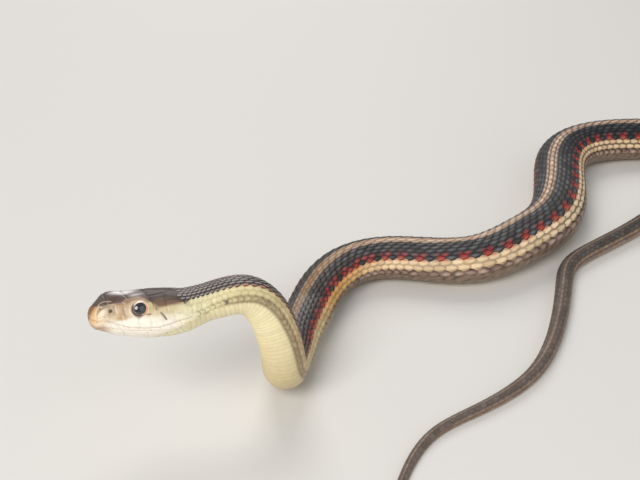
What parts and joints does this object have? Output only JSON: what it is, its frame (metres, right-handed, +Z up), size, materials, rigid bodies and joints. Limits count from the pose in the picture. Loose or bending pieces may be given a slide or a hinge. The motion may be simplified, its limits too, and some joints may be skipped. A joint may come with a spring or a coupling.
{
  "type": "garter snake",
  "caption": "Still life-size model of a red-sided garter snake lying in loose bends, with its head and neck raised on an arch and its thin tail trailing forward.",
  "frame": {"origin": "centre of the model's bounding box at floor level, with the floor at z = 0", "axes": "+X from the snout's end towards the rear loop, which is the picture's right, +Y away from the camera, +Z up"},
  "size_m": [0.2502, 0.1894, 0.0325],
  "materials": {
    "head_skin": "smooth glossy head plates, olive brown above and cream on the lips",
    "chin_skin": "smooth satin chin plates, cream",
    "neck_skin": "small keeled scales above, wide smooth belly scales, satin",
    "trunk_skin": "keeled overlapping scales, black with tan and cream stripes and red marks, satin",
    "tail_skin": "keeled scales, dark grey with pale lines, satin",
    "eye": "wet gloss, round black pupil in a thin golden ring"
  },
  "bodies": {
    "root": {"head": "head_skin", "lower_jaw": "chin_skin", "eye_left": "eye", "eye_right": "eye", "neck_1": "neck_skin", "neck_2": "neck_skin", "trunk_1": "trunk_skin", "trunk_2": "trunk_skin", "trunk_3": "trunk_skin", "trunk_4": "trunk_skin", "trunk_5": "trunk_skin", "trunk_6": "trunk_skin", "trunk_7": "trunk_skin", "trunk_8": "trunk_skin", "tail_1": "tail_skin", "tail_2": "tail_skin", "tail_3": "tail_skin", "tail_4": "tail_skin"}
  },
  "joints": []
}
